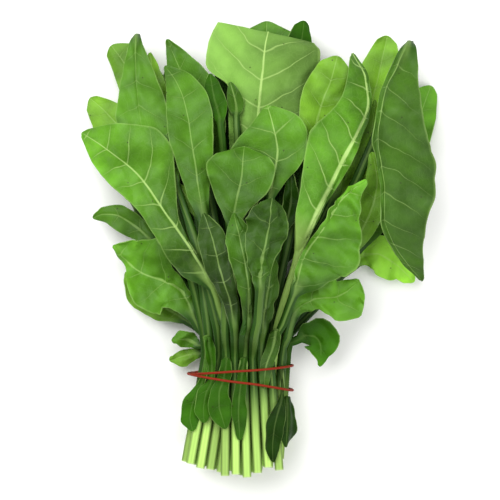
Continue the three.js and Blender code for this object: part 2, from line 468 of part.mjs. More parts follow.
// Spreads a lift to its neighbours, so that the leaf stays smooth; the ribs stay in one piece.
function relax(lift, first, last, held) {
  for (let pass = 0; pass < 3; pass++) {
    const before = lift.map(row => [...row]);
    for (let i = first; i <= last; i++) {
      for (let j = 0; j < ACROSS; j++) {
        const near = [[i - 1, j], [i + 1, j], [i, j - 1], [i, j + 1]]
          .filter(([p, q]) => p >= first && p <= last && q >= 0 && q < ACROSS)
          .map(([p, q]) => before[p][q]);
        const mean = near.reduce((sum, value) => sum + value, 0) / near.length;
        lift[i][j] = Math.max(lift[i][j], mean);
      }
      const rib = Math.max(lift[i][2], lift[i][3], lift[i][4]);
      lift[i][2] = rib;
      lift[i][3] = rib;
      lift[i][4] = rib;
      if (held(i)) lift[i].fill(0);
    }
  }
}

// ---- Solids ----
function addMesh(group, name, geometry, colour, roughness) {
  const material = new THREE.MeshStandardMaterial({ color: colour, roughness, metalness: 0 });
  const mesh = new THREE.Mesh(geometry, material);
  mesh.name = name;
  group.add(mesh);
}

function solid(points, triangles) {
  const geometry = new THREE.BufferGeometry();
  geometry.setAttribute('position', new THREE.Float32BufferAttribute(points.flat(), 3));
  geometry.setIndex(triangles);
  geometry.computeVertexNormals();
  return geometry;
}

function leafSolid(leaf, rows, lift) {
  const [upper, lower] = faces(leaf, rows, lift);
  const under = upper.length;
  const end = ACROSS * (rows.length - 1);
  const triangles = [];
  const quad = (a, b, c, d) => triangles.push(a, b, c, c, b, d);
  for (let i = 0; i < rows.length - 1; i++) {
    for (let j = 0; j < ACROSS - 1; j++) {
      const [a, b, c, d] = cornersOf(i, j);
      quad(a, b, c, d);
      triangles.push(under + a, under + c, under + b, under + c, under + d, under + b);
    }
    const [a, c] = [ACROSS * i, ACROSS * (i + 1)];
    const [b, d] = [a + ACROSS - 1, c + ACROSS - 1];
    quad(a, c, under + a, under + c);
    triangles.push(b, under + b, d, under + b, under + d, d);
  }
  for (let j = 0; j < ACROSS - 1; j++) {
    const [a, b] = [j, end + j];
    triangles.push(a, under + a, a + 1, a + 1, under + a, under + a + 1);
    triangles.push(b, b + 1, under + b, b + 1, under + b + 1, under + b);
  }
  return solid([...upper, ...lower], triangles);
}

// The elastic: one closed loop that goes twice round the neck and crosses itself once.
function bandSolid() {
  const TURNS = 2;
  const STEPS = 72;
  const SIDES = 5;
  const RIDE_LENGTH = 6;    // powers: how quickly a strand climbs over the other
  const PARTING = 2.2;      // and how quickly the two come together at the sides
  const radius = BAND_THICKNESS / 2;
  const centre = k => {
    const angle = TURNS * 2 * Math.PI * k / STEPS;
    const cross = Math.cos(angle / 2);
    const ride = angle > 2 * Math.PI ? BAND_OVERLAP * Math.sin(angle / 2) ** RIDE_LENGTH : 0;
    const spread = BAND_SPREAD * Math.sign(cross) * Math.abs(cross) ** PARTING;
    const full = value => Math.sign(value) * Math.abs(value) ** NECK_SQUARENESS;
    return new THREE.Vector3(
      NECK_X + (NECK_HALF_WIDTH + radius + ride) * full(Math.cos(angle)),
      NECK_Y - 1 - BAND_SLANT * (1 + Math.cos(angle)) + spread,
      NECK_Z + (NECK_HALF_HEIGHT + radius + ride) * full(Math.sin(angle)),
    );
  };
  const points = [];
  const triangles = [];
  for (let k = 0; k < STEPS; k++) {
    const middle = centre(k);
    const tangent = centre(k + 1).sub(centre(k - 1)).normalize();
    const outward = new THREE.Vector3(middle.x - NECK_X, 0, middle.z - NECK_Z);
    const side = new THREE.Vector3().crossVectors(tangent, outward).normalize();
    const out = new THREE.Vector3().crossVectors(side, tangent);
    for (let m = 0; m < SIDES; m++) {
      const turn = 2 * Math.PI * m / SIDES;
      const spot = middle.clone().addScaledVector(side, radius * Math.cos(turn));
      points.push(spot.addScaledVector(out, radius * Math.sin(turn)).toArray());
      const [a, b] = [SIDES * k + m, SIDES * k + (m + 1) % SIDES];
      const [c, d] = [a, b].map(v => (v + SIDES) % (SIDES * STEPS));
      triangles.push(a, c, b, c, d, b);
    }
  }
  return solid(points, triangles);
}

// ---- Assembly ----
const group = new THREE.Group();
const built = LEAVES.map(leaf => {
  const rows = middleSurface(leaf);
  return { leaf, rows, lift: noLift(rows) };
});
for (const { leaf, rows, lift } of built) {
  lay(leaf, rows, lift, 0, leaf.turn ? rows.length - TURNED_STEPS : rows.length - 1);
  for (const folded of built.filter(other => other.leaf.over === leaf.name)) {
    const end = folded.rows.length - 1;
    lay(folded.leaf, folded.rows, folded.lift, end + 1 - TURNED_STEPS, end);
  }
}
for (const { leaf, rows, lift } of built) {
  addMesh(group, `leaf_${leaf.name}`, leafSolid(leaf, rows, lift), TONES[leaf.tone], LEAF_ROUGHNESS);
}
addMesh(group, 'rubber_band', bandSolid(), BAND_COLOUR, BAND_ROUGHNESS);

export default group;
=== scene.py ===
# A tied bunch of spinach that lies on its side: long leaves on petioles, short leaves and a rubber band.
# Metres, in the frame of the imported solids: leaf tips towards +Y, cut stems towards -Y, +Z up.
import json
import math

import bpy
import numpy as np
from bpy.props import FloatProperty, FloatVectorProperty, IntProperty, PointerProperty
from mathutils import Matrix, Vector


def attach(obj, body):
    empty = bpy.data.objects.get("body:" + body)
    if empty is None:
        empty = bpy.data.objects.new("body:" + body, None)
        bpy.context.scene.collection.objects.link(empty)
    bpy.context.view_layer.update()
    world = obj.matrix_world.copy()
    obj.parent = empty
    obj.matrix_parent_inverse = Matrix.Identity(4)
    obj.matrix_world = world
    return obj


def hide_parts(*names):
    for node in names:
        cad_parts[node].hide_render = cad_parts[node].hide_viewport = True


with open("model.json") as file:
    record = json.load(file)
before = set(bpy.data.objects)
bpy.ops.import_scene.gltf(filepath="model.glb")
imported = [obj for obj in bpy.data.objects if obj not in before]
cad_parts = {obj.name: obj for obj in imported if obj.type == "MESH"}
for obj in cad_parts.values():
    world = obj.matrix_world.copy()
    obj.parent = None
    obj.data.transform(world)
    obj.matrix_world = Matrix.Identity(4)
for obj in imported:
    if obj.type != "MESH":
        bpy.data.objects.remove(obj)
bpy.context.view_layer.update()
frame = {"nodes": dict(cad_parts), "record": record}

bl_info = {
    "name": "Spinach Bunch",
    "version": (1, 0, 0),
    "blender": (4, 5, 0),
    "location": "View3D > Sidebar > Spinach",
    "description": "Dresses the solids of a tied bunch of spinach as fresh leaves and a rubber band",
    "category": "Add Mesh",
}

MM = 0.001

# The solids: each leaf is a row of rings, with the same corners on its upper and its lower face.
ACROSS = 7                      # corners across each face
RING = 2 * ACROSS
STEM_RINGS = {13: 4, 11: 4, 19: 7, 7: 0}    # rings of a leaf: how many of them are bare stem
SAME_PLACE = 0.01 * MM          # corners nearer than this are one
LEAVES = sorted(name for name in frame["nodes"] if name.startswith("leaf_"))

# The fine sheet laid through a leaf solid.
FREE_BEND = 17 * MM             # between rings further apart than this, the leaf bends less
OPENING = 0.2                   # share of a blade over which it opens out of its petiole
TIP_START = 0.9                 # share of a blade from which it grows flatter towards its tip
FEWEST_ROWS = 12                # of corners along a blade
SIDE_COLUMNS = (7, 18)          # fewest and most corners between the midrib and a margin
NOTCHES = ((0.015, 10 * MM), (0.01, 4 * MM))    # in a margin: depth, by half the breadth, and length
BLUNTNESS = 0.75                # how far a tip is drawn back to a half circle,
SQUARE_BLUNTNESS = 0.03         # and how far a square one
VEIN_LEAN = 0.55                # how far a side vein runs on towards the tip for each step outwards,
VEIN_BEND = 5.0                 # and how much more with each metre of it
VEIN_SWAY = 0.3                 # how far a side vein strays, by the vein spacing,
SWAY_LENGTH = 2.2               # and over how many spacings
RIB_WIDTH = 1.8                 # half a midrib at the neck, in mm
RIB_TAPER = 0.8                 # share of it that is gone at the tip
GROOVE = (0.35, 1.6)            # depth and reach of the groove over a midrib, by half the midrib
CURL = 0.5 * MM                 # how far the flanks of a petiole stand above its middle
DENT_SIZES = (1, 1, 0.7, 0.7, 0.45, 0.45)   # of the dents that lie over each other
CREASE_SIZE = 0.7               # of the creases in a crumpled blade, by the dents
CREASE_SHARPNESS = 2.5
SHARPEST = 50                   # degrees: edges bent more than this stay sharp

# Bends of the pile that all leaves share, and where they fade out.
SWELL_PARTS = ((1.0, 1.0), (0.35, 0.5), (0.22, 0.3))    # height and size, as shares of the settings
SWELL_FLATNESS = (1, 1, 0.3)    # a leaf above another bends nearly as that one does
NECK = (-60 * MM, -20 * MM)     # from the bare stems to the leaves
LOW = (3 * MM, 32 * MM)         # from the leaves on the table to those on top

# How single leaves differ from the rest.
UNDERSIDE_UP = {"leaf_top_pale"}
FOLDED_BACK = {"leaf_right_fold", "leaf_left_tall"}
FOLDED_UNDER = 0.15             # how much they show of the underside's colour
SQUARE_TIPS = {"leaf_top_pale"}
DARK_RIBS = 0.3                 # paleness of the ribs of dark leaves, by the rest
PALE_RIBS = {                   # in place of the rib contrast in the settings
    "leaf_right_broad": 1.0, "leaf_top_pale": 0.9, "leaf_left_broad": 0.8, "leaf_right_fold": 0.4,
    "leaf_left_droop": 0.4, "leaf_right_front": 0.45, "leaf_centre_broad": 0.55,
}
RIB_WIDTHS = {                  # in place of RIB_WIDTH
    "leaf_right_fold": 0.35, "leaf_left_tall": 0.35, "leaf_top_pale": 2.7, "leaf_right_broad": 3.4,
    "leaf_front_long": 1.2, "leaf_left_dark": 1.2,
}
CRUMPLED = {                    # height of the creases in mm
    "leaf_centre_crumpled": 2.4, "leaf_right_low_dark": 2.2, "leaf_right_low_lobe": 1.8,
    "leaf_right_front": 1.4, "leaf_left_droop": 1.4, "leaf_low_left_bit": 2.2,
    "leaf_low_left_point": 2.2, "leaf_centre_strap": 1.0, "leaf_right_low": 1.4,
    "leaf_front_left": 1.2, "leaf_centre_dark": 1.3, "leaf_centre_left_front": 1.0,
    "leaf_low_left_back": 1.2, "leaf_left_inner_small": 1.0,
}
RAGGED = {                      # how many times deeper than NOTCHES the margin is torn
    "leaf_low_left_bit": 10, "leaf_low_left_point": 10, "leaf_right_low_dark": 6,
}
TORN = 4                        # the same for other crumpled leaves and the short ones
EVEN_LIGHT_AND_TONE = (1.0, 1.0, 0.0)          # painted light and shade, partly the leaf's own tone: brightness of a blade at its neck and tip, and gain towards the right
LEAF_LIGHT_AND_TONE = {                       # in place of EVEN_LIGHT_AND_TONE
    "leaf_left_broad": (0.3, 1.7, -0.2), "leaf_left_tall": (0.9, 1.05, -0.15),
    "leaf_left_strip": (0.8, 0.9, 0.0), "leaf_left_back_tip": (1.1, 1.1, 0.0),
    "leaf_left_dark": (0.55, 0.8, 0.0), "leaf_left_middle": (0.75, 1.0, 0.0),
    "leaf_low_left_back": (1.5, 1.8, 0.0), "leaf_left_droop": (1.6, 1.8, -0.15),
    "leaf_low_left_bit": (1.7, 1.9, 0.0), "leaf_low_left_point": (1.5, 2.2, 0.0),
    "leaf_centre_strap": (0.7, 0.75, 0.0), "leaf_left_inner_small": (0.7, 0.8, 0.0),
    "leaf_front_long": (0.85, 0.8, 0.0), "leaf_front_left": (0.3, 0.42, 0.0),
    "leaf_top_pale": (0.76, 0.9, -0.5), "leaf_top_small": (0.6, 0.6, 0.0),
    "leaf_centre_broad": (0.8, 1.05, 0.1), "leaf_centre_low": (0.7, 0.85, 0.0),
    "leaf_centre_crumpled": (0.75, 0.38, 0.0), "leaf_centre_left_front": (0.9, 0.85, 0.0),
    "leaf_centre_dark": (0.35, 0.4, 0.0), "leaf_right_broad": (1.7, 0.88, -0.05),
    "leaf_right_fold": (0.68, 0.45, -0.12), "leaf_right_back": (1.4, 1.5, 0.0),
    "leaf_right_back_bright": (1.2, 1.3, 0.0), "leaf_right_low": (2.2, 2.8, 0.0),
    "leaf_right_front": (1.4, 1.6, -0.15), "leaf_right_low_lobe": (1.8, 2.2, 0.0),
    "leaf_right_low_dark": (1.0, 3.4, 0.0), "leaf_drop_outer_left": (2.8, 3.3, 0.0),
    "leaf_drop_left": (2.4, 2.9, 0.0), "leaf_drop_inner_left": (2.0, 2.5, 0.0),
    "leaf_drop_middle": (1.9, 2.1, 0.0), "leaf_drop_right": (0.6, 0.8, 0.0),
}
STALK_TONES = (0.8, 1.3)        # darkest and brightest stalk
HIDDEN_SHADE = 0.45             # brightness of the upper faces that the pile covers

# What the corners of a leaf know, by attribute.
READINGS = {
    "leaf_mm": ("across", "along", "to_cut"), "leaf_veins": ("phase", "rib", "share"),
    "leaf_kind": ("opened", "under", "tint"), "leaf_looks": ("contrast", "shade", "stalk"),
}

# Patterns in the materials, in mm along the surface.
CLOUD_SIZE = 26                 # of the lighter and darker patches of a blade, partly its own tone and partly painted light and shade
WOBBLE_SIZE = 18                # of the bends in a side vein
WARP_SIZE = 8.3                 # of the bends in the net of finest veins, and how far they go
WARP = 5.0
GRAIN_SIZE = 0.625              # of the cells that break up the shine, coarser than real so that they show
FIBRE_WAVES = (1.2, 0.03, 0.03)     # of a stalk's fibres in each mm: across, along and from the cut
SHADED = (90, 250)              # from the cut: over this stretch the blades come out of the bunch's shade
SHADED_BRIGHTNESS = 0.42        # of a blade before it
GREENED = (18, 66)              # from the cut: over this stretch the stalks turn green and darken into painted shade
WET_CUT = 1.2                   # from the cut: how far it shows
SPECK_SPACING = 30              # between the specks of soil, and their size as a share of it
SPECK_SIZE = 0.022
VEIN_WOBBLE = 0.35              # how far a side vein bends, by the vein spacing
NET_STRENGTH = 0.05             # how far the finest veins show the vein colour,
SIDE_VEIN_STRENGTH = 0.62       # and the side veins,
EDGE_LIGHT_STRENGTH = 0.3             # and the margin, a pale line painted for light shining through its thin edge
LEAF_RELIEF = 0.35 * MM         # height of the veins and the grain
RUBBER_GRAIN = 1.1 * MM
RUBBER_RELIEF = 0.1 * MM        # depth of its grain

# The stage, in metres.
TABLE = 6                       # along each side
LIGHTS = {"key": ((-0.55, 0.65, 1.3), 1.4), "fill": ((0.8, -0.4, 1.1), 1.2)}    # place and size
OVERHEAD = (-0.007, -0.0014)    # where the camera stands over the table
LEAF_HEIGHT = 0.03              # at which the view width is measured
FAR = 20                        # the camera sees no further
SENSOR = 36                     # in mm


# ---- Colours ----
def linear(code):
    """Linear colour, with alpha, of an sRGB hex code."""
    parts = [int(code[k:k + 2], 16) / 255 for k in (1, 3, 5)]
    return tuple(c / 12.92 if c <= 0.04045 else ((c + 0.055) / 1.055) ** 2.4 for c in parts) + (1.0,)


def dimmed(colour, share):
    """A share of the brightness of a linear colour."""
    return tuple(share * part for part in colour[:3]) + (1.0,)


def colour_property(name, code, description):
    """A colour setting that starts from an sRGB hex code."""
    return FloatVectorProperty(name=name, description=description, subtype="COLOR", size=4,
                               min=0, max=1, default=linear(code))


def length_property(name, millimetres, description):
    """A length setting in metres."""
    return FloatProperty(name=name, description=description, default=millimetres * MM,
                         min=0, unit="LENGTH", precision=5)


# ---- Settings ----
class SpinachLeafSettings(bpy.types.PropertyGroup):
    """Sizes and colours of the leaves"""
    vein_spacing: length_property("Vein spacing", 19, "Between two side veins, along the midrib")
    vein_width: length_property("Vein width", 1.1, "Of a side vein where it leaves the midrib")
    pucker: length_property("Pucker", 0.5, "How far the blade swells between two side veins")
    dents: length_property("Dents", 0.9, "How deep the soft dents of one blade are")
    swells: length_property("Swells", 5.5, "How far neighbouring blades bend up and down together")
    swell_size: length_property("Swell size", 52, "Across one such bend")
    dent_size: length_property("Dent size", 34, "Across one soft dent")
    ripple: length_property("Ripple", 1.3, "How far the margins wave")
    ripple_length: length_property("Ripple length", 24, "Of one wave along a margin")
    net_size: length_property("Net size", 4.5, "Of a mesh in the net of finest veins")
    row_spacing: length_property("Row spacing", 1.9, "Between two cross lines of a blade")
    rib_contrast: FloatProperty(name="Rib contrast", description="Paleness of the ribs of most leaves",
                                default=0.3, min=0, max=1)
    seed: IntProperty(name="Seed", description="Starts the random draws", default=7)
    mid: colour_property("Mid green", "#4f811c", "Blades of the grown leaves")
    # partly a lighter young green and partly painted light, standing for light that shines through thin
    # blades
    bright: colour_property("Bright green", "#6a9a2a", "Thin young blades that let light through")
    dark: colour_property("Dark green", "#2d590a", "Blades in the shade of the bunch")
    pale: colour_property("Pale green", "#6a973f", "Blades seen from their underside")
    vein: colour_property("Vein", "#a3c46f", "Midribs and side veins")
    petiole: colour_property("Petiole", "#aad268", "Long stalks below the tie")
    shaded: colour_property("Shaded petiole", "#2b5111", "The same stalks among the leaves")
    underside: colour_property("Underside", "#739b47", "The matt lower face of a blade")
    cut: colour_property("Cut end", "#b6ca90", "Where a petiole is cut off")
    soil: colour_property("Soil", "#2a2414", "Specks of soil on the blades")


class SpinachBandSettings(bpy.types.PropertyGroup):
    """Colour of the rubber band"""
    colour: colour_property("Rubber", "#8a2408", "Dyed natural rubber")


class SpinachStageSettings(bpy.types.PropertyGroup):
    """Floor, light and camera"""
    floor_colour: colour_property("Floor", "#fafaf8", "Matt pale table top")
    camera_height: FloatProperty(name="Camera height", description="Above the table", default=2.2,
                                 unit="LENGTH")
    view_width: FloatProperty(name="View width", description="What the picture spans at leaf height",
                              default=0.350, unit="LENGTH")
    key_power: FloatProperty(name="Key light", description="Of the large soft light", default=31.0,
                             unit="POWER")
    fill_power: FloatProperty(name="Fill light", description="Of the light from the other side",
                              default=13.0, unit="POWER")
    sky: FloatProperty(name="Sky", description="Even light from all round", default=0.34)


# ---- Reading the solids ----
def corners_of(node):
    """Corners of a CAD node, each once, and its triangles."""
    mesh = frame["nodes"][node].data
    places = np.array([v.co for v in mesh.vertices])
    triangles = np.array([face.vertices[:] for face in mesh.polygons])
    _, first, index = np.unique(np.round(places / SAME_PLACE), axis=0,
                                return_index=True, return_inverse=True)
    return places[first], index.ravel()[triangles]


def neighbours_of(count, triangles):
    """Set of the neighbours of each corner."""
    near = [set() for _ in range(count)]
    for a, b, c in triangles.tolist():
        near[a] |= {b, c}
        near[b] |= {a, c}
        near[c] |= {a, b}
    return near


def walk_round(ring, near, triangles):
    """Corners of a ring in order, without the chords across a flat end."""
    members = set(ring)
    inside = [t for t in triangles.tolist() if members.issuperset(t)]
    shared = {}
    for t in inside:
        for a, b in ((t[0], t[1]), (t[1], t[2]), (t[2], t[0])):
            shared[frozenset((a, b))] = shared.get(frozenset((a, b)), 0) + 1
    steps = {a: [b for b in near[a] & members if shared.get(frozenset((a, b)), 0) < 2] for a in ring}
    order = [ring[0]]
    while len(order) < len(ring):
        order.append(next(b for b in steps[order[-1]] if b not in order[-2:] and b not in order[:-1]))
    return order


def line_up(order, before, near):
    """Turns a ring so that each corner stands on an edge to the same corner of the ring before."""
    for way in (order, order[::-1]):
        for start in range(len(way)):
            turned = way[start:] + way[:start]
            if all(b in near[a] for a, b in zip(before, turned)):
                return turned
    raise ValueError("two rings of a leaf solid don't line up")


def leaf_rings(node, from_top):
    """Corners of a leaf solid as [ring, round], from its cut end or, for a short leaf, its held end."""
    places, triangles = corners_of(node)
    near = neighbours_of(len(places), triangles)
    ring = np.argsort(-places[:, 1] if from_top else places[:, 1])[:RING].tolist()
    seen = set(ring)
    rings = [walk_round(ring, near, triangles)]
    while len(seen) < len(places):
        ring = sorted(set().union(*(near[k] for k in rings[-1])) - seen)
        seen |= set(ring)
        rings.append(line_up(walk_round(ring, near, triangles), rings[-1], near))
    return places[np.array(rings)]


def leaf_faces(node):
    """Corners of the upper and the lower face of a leaf solid, as [ring, across] from the left."""
    from_top = node.startswith("leaf_drop_")
    loops = leaf_rings(node, from_top)
    # The two margins are the opposite edges of the widest ring that are shortest together.
    edges = np.linalg.norm(loops - np.roll(loops, -1, axis=1), axis=2)
    widest = edges.sum(axis=1).argmax()
    margin = int((edges[widest] + np.roll(edges[widest], ACROSS))[:ACROSS].argmin())
    loops = np.roll(loops, -(margin + 1), axis=1)
    one, other = loops[:, :ACROSS], loops[:, ACROSS:][:, ::-1]
    if one[0, :, 2].mean() < other[0, :, 2].mean():
        one, other = other, one
    # A short leaf hangs the other way, so its left side is on the right, seen from above.
    starts_right = one[0, 0, 0] > one[0, -1, 0]
    if starts_right != from_top:
        one, other = one[:, ::-1], other[:, ::-1]
    return one, other


# ---- Smooth surfaces ----
def smooth(knots, values, where, free=math.inf):
    """Smooth curve through values at the knots, without overshoot, read at the places in where.

    Between knots further apart than free, the curve bulges less and less from the straight line.
    """
    step = np.diff(knots)
    shape = (-1,) + (1,) * (values.ndim - 1)
    slope = np.diff(values, axis=0) / step.reshape(shape)
    tangent = np.empty_like(values)
    tangent[0], tangent[-1] = slope[0], slope[-1]
    before, after = step[:-1].reshape(shape), step[1:].reshape(shape)
    near, far = 2 * after + before, after + 2 * before
    same_way = slope[:-1] * slope[1:] > 0
    first, second = np.where(same_way, slope[:-1], 1), np.where(same_way, slope[1:], 1)
    tangent[1:-1] = np.where(same_way, (near + far) / (near / first + far / second), 0)
    k = np.clip(np.searchsorted(knots, where, side="right") - 1, 0, len(step) - 1)
    t = ((where - knots[k]) / step[k]).reshape(shape)
    h = step[k].reshape(shape)
    curve = ((1 + 2 * t) * (1 - t) ** 2 * values[k] + t * (1 - t) ** 2 * h * tangent[k]
             + t * t * (3 - 2 * t) * values[k + 1] + t * t * (t - 1) * h * tangent[k + 1])
    line = (1 - t) * values[k] + t * values[k + 1]
    return line + np.minimum(1, (free / h) ** 2) * (curve - line)


def ease(low, high, x):
    """0 below low, 1 above high and smooth between."""
    t = np.clip((x - low) / (high - low), 0, 1)
    return t * t * (3 - 2 * t)


def lengths_along(points):
    """Distance of each point from the first, along the line through them."""
    return np.concatenate([[0], np.cumsum(np.linalg.norm(np.diff(points, axis=0), axis=-1))])


def wander(draw, along, pitch):
    """Smooth random curve between -1 and 1 with a bend about every pitch."""
    knots = np.arange(along.min() - pitch, along.max() + 2 * pitch, pitch)
    return smooth(knots, draw.uniform(-1, 1, len(knots)), along)


def dents(draw, points, size):
    """Soft random dents and swellings about as wide as size, mostly between -1 and 1, over a sheet."""
    total = np.zeros(points.shape[:-1])
    for stretch in DENT_SIZES:
        way = draw.normal(size=3)
        way *= 2 * np.pi / (size * stretch * np.linalg.norm(way))
        total += stretch * np.sin(points @ way + draw.uniform(0, 2 * np.pi))
    return total / (len(DENT_SIZES) / 2)


def swells(points, settings):
    """Rise or fall of the pile at a place: nearly the same for all leaves there, so that they keep apart."""
    draw = np.random.default_rng(settings.seed)
    level = points * SWELL_FLATNESS
    rise = sum(height * dents(draw, level, settings.swell_size * size) for height, size in SWELL_PARTS)
    return settings.swells * rise * ease(*NECK, points[..., 1]) * ease(*LOW, points[..., 2])


class LeafShape:
    """Fine middle surface of a leaf, its thickness, and where each point of it lies on the leaf."""

    def __init__(self, node, settings, draw):
        self.node = node
        upper, lower = leaf_faces(node)
        middle = (upper + lower) / 2
        depth = np.linalg.norm(upper - lower, axis=2)
        stem_rings = STEM_RINGS[len(middle)]
        self.has_stem = stem_rings > 0
        reach = lengths_along(middle[:, ACROSS // 2])
        start, end = reach[stem_rings], reach[-1]
        breadth = np.linalg.norm(np.diff(middle, axis=1), axis=2).sum(axis=1).max()
        where = self.rows_along(start, end, settings)
        sides = int(np.clip(round(breadth / 2 / settings.row_spacing), *SIDE_COLUMNS))
        self.share = np.linspace(-1, 1, 2 * sides + 1)
        self.along = where - start
        self.length = end - start
        self.to_cut = where
        self.opened = ease(0, OPENING, self.along / self.length) if self.has_stem else np.ones(len(where))
        coarse = smooth(reach, middle, where, FREE_BEND)
        self.lay_sheet(coarse, smooth(reach, depth, where), self.trim(where, draw))
        self.round_ends(where, start)
        width = RIB_WIDTHS.get(node, RIB_WIDTH) * MM
        self.rib = width * (1 - RIB_TAPER * np.clip(self.along / self.length, 0, 1))
        self.veins = self.vein_phase(settings, draw)
        self.shape_blade(settings, draw)

    def rows_along(self, start, end, settings):
        """Where the rows of the sheet stand: four times further apart on the stem than on the blade."""
        stem_rows = math.ceil(start / (4 * settings.row_spacing))
        blade_rows = max(FEWEST_ROWS, round((end - start) / settings.row_spacing))
        return np.concatenate([np.linspace(0, start, stem_rows, endpoint=False),
                               np.linspace(start, end, blade_rows + 1)])

    def trim(self, where, draw):
        """How much narrower than its solid the leaf is at each row, on its left and its right side."""
        torn = self.node in CRUMPLED or not self.has_stem
        ragged = RAGGED.get(self.node, TORN if torn else 1)
        sides = [1 - ragged * sum(depth * (1 + wander(draw, where, length)) for depth, length in NOTCHES)
                 for _ in range(2)]
        return [1 + (side - 1) * self.opened for side in sides]

    def lay_sheet(self, coarse, thick, trim):
        """Spreads the columns of each row evenly from the midrib to each margin."""
        rows, columns = len(coarse), len(self.share)
        self.points = np.empty((rows, columns, 3))
        self.thickness = np.empty((rows, columns))
        self.across = np.empty((rows, columns))
        for row in range(rows):
            knots = lengths_along(coarse[row])
            knots -= knots[ACROSS // 2]
            left, right = -knots[0] * trim[0][row], knots[-1] * trim[1][row]
            place = self.share * np.where(self.share < 0, left, right)
            self.points[row] = smooth(knots, coarse[row], place)
            self.thickness[row] = np.interp(place, knots, thick[row])
            self.across[row] = place

    def round_ends(self, where, start):
        """Draws the corners of a tip back, so that it ends in a curve, and so the top of a short leaf."""
        bluntness = SQUARE_BLUNTNESS if self.node in SQUARE_TIPS else BLUNTNESS
        reached = where[:, None] - bluntness * self.corner(-1) * self.nearness(where[-1] - where, -1)
        if not self.has_stem:
            reached = reached + self.corner(0) * self.nearness(where, 0)
        for column in range(len(self.share)):
            for sheet in (*np.moveaxis(self.points, 2, 0), self.thickness, self.across):
                sheet[:, column] = np.interp(reached[:, column], where, sheet[:, column])
        self.reached = reached - start

    def corner(self, row):
        """How far a half circle over the end at a row would fall back at each place across it."""
        half = np.where(self.share < 0, -self.across[row, 0], self.across[row, -1])
        return half * self.share ** 2

    def nearness(self, distance, row):
        """1 at an end and 0 from twice its width on."""
        return 1 - ease(0, 4 * np.abs(self.across[row]).max() + 1 * MM, distance)[:, None]

    def vein_phase(self, settings, draw):
        """Counts the side veins: a whole number and a half on each of them."""
        out = np.abs(self.across)
        bend = VEIN_LEAN * out + VEIN_BEND * out ** 2
        left, right = (wander(draw, self.along, SWAY_LENGTH * settings.vein_spacing) for _ in range(2))
        sway = np.where(self.share < 0, left[:, None], right[:, None]) * np.abs(self.share)
        return (self.reached - bend) / settings.vein_spacing + VEIN_SWAY * sway + draw.uniform()

    def normals(self):
        """Unit normals of the middle surface."""
        down = np.gradient(self.points, axis=0)
        over = np.gradient(self.points, axis=1)
        normal = np.cross(over, down)
        return normal / np.linalg.norm(normal, axis=2, keepdims=True)

    def shape_blade(self, settings, draw):
        """Moves the sheet along its normals, then up or down with the pile, but never through the table."""
        out = np.abs(self.share)[None, :]
        opened = self.opened[:, None]
        tip = 1 - ease(TIP_START, 1, self.along / self.length)[:, None]
        relief = self.puckers(settings, out)
        relief = relief + self.waves(settings, out, draw)
        relief = relief + self.bends(settings, out, draw)
        curl = CURL * (1 - opened) * out ** 2
        lift = opened * tip * relief + opened * self.groove() + curl
        self.points += self.normals() * lift[..., None]
        self.points[..., 2] += swells(self.points, settings)
        self.points[..., 2] = np.maximum(self.points[..., 2], self.thickness)

    def puckers(self, settings, out):
        """The blade swells between two side veins, but not at the midrib or the margin."""
        between = np.abs(np.sin(np.pi * (self.veins - 0.5)))
        return settings.pucker * (between - 0.5) * ease(0.02, 0.3, out) * (1 - ease(0.75, 1, out))

    def groove(self):
        """The midrib is sunk into the upper face."""
        depth, reach = (share * self.rib[:, None] for share in GROOVE)
        return -depth * np.exp(-(self.across / reach) ** 2)

    def waves(self, settings, out, draw):
        """The margins wave, each in its own way."""
        pitch = settings.ripple_length
        sides = []
        for _ in range(2):
            strength = 0.55 + 0.45 * wander(draw, self.along, 3 * pitch)
            shift = draw.uniform() + 0.3 * wander(draw, self.along, 2 * pitch)
            sides.append(strength * np.sin(2 * np.pi * (self.along / pitch + shift)))
        wave = np.where(self.share < 0, sides[0][:, None], sides[1][:, None])
        return settings.ripple * wave * out ** 3

    def bends(self, settings, out, draw):
        """Sharp creases in a crumpled blade, soft dents in any other."""
        if self.node in CRUMPLED:
            folds = dents(draw, self.points, CREASE_SIZE * settings.dent_size)
            creases = 1 - CREASE_SHARPNESS * np.abs(folds)
            return CRUMPLED[self.node] * MM * creases
        return settings.dents * dents(draw, self.points, settings.dent_size) * (0.4 + 0.6 * out)


# ---- Making meshes ----
def deselect_all():
    """Leaves nothing selected, in object mode."""
    for piece in bpy.context.selected_objects:
        piece.select_set(False)


def lay_grid(name, points):
    """A grid primitive with its corners laid on points[row, column]."""
    deselect_all()
    rows, columns = points.shape[:2]
    bpy.ops.mesh.primitive_grid_add(x_subdivisions=columns - 1, y_subdivisions=rows - 1, size=2)
    piece = bpy.context.object
    piece.name = piece.data.name = name
    flat = np.empty(3 * len(piece.data.vertices))
    piece.data.vertices.foreach_get("co", flat)
    flat = flat.reshape(-1, 3)
    column = np.rint((flat[:, 0] + 1) / 2 * (columns - 1)).astype(int)
    row = np.rint((flat[:, 1] + 1) / 2 * (rows - 1)).astype(int)
    piece.data.vertices.foreach_set("co", points[row, column].ravel())
    return piece, row, column


def thicken(piece, thickness):
    """Gives each corner of a sheet its own thickness, half to each face."""
    most = float(thickness.max())
    group = piece.vertex_groups.new(name="thickness")
    levels = np.rint(thickness / most * 100).astype(int)
    for level in np.unique(levels):
        group.add(np.flatnonzero(levels == level).tolist(), level / 100, "REPLACE")
    thick = piece.modifiers.new("Thickness", "SOLIDIFY")
    thick.thickness = most
    thick.offset = 0
    thick.vertex_group = group.name
    bpy.ops.object.modifier_apply(modifier=thick.name)
    piece.vertex_groups.clear()


def set_attribute(piece, name, parts):
    """Stores three numbers a corner, for the material to read."""
    values = np.stack(parts, axis=1).astype(np.float32)
    attribute = piece.data.attributes.new(name, "FLOAT_VECTOR", "POINT")
    attribute.data.foreach_set("vector", values.ravel())


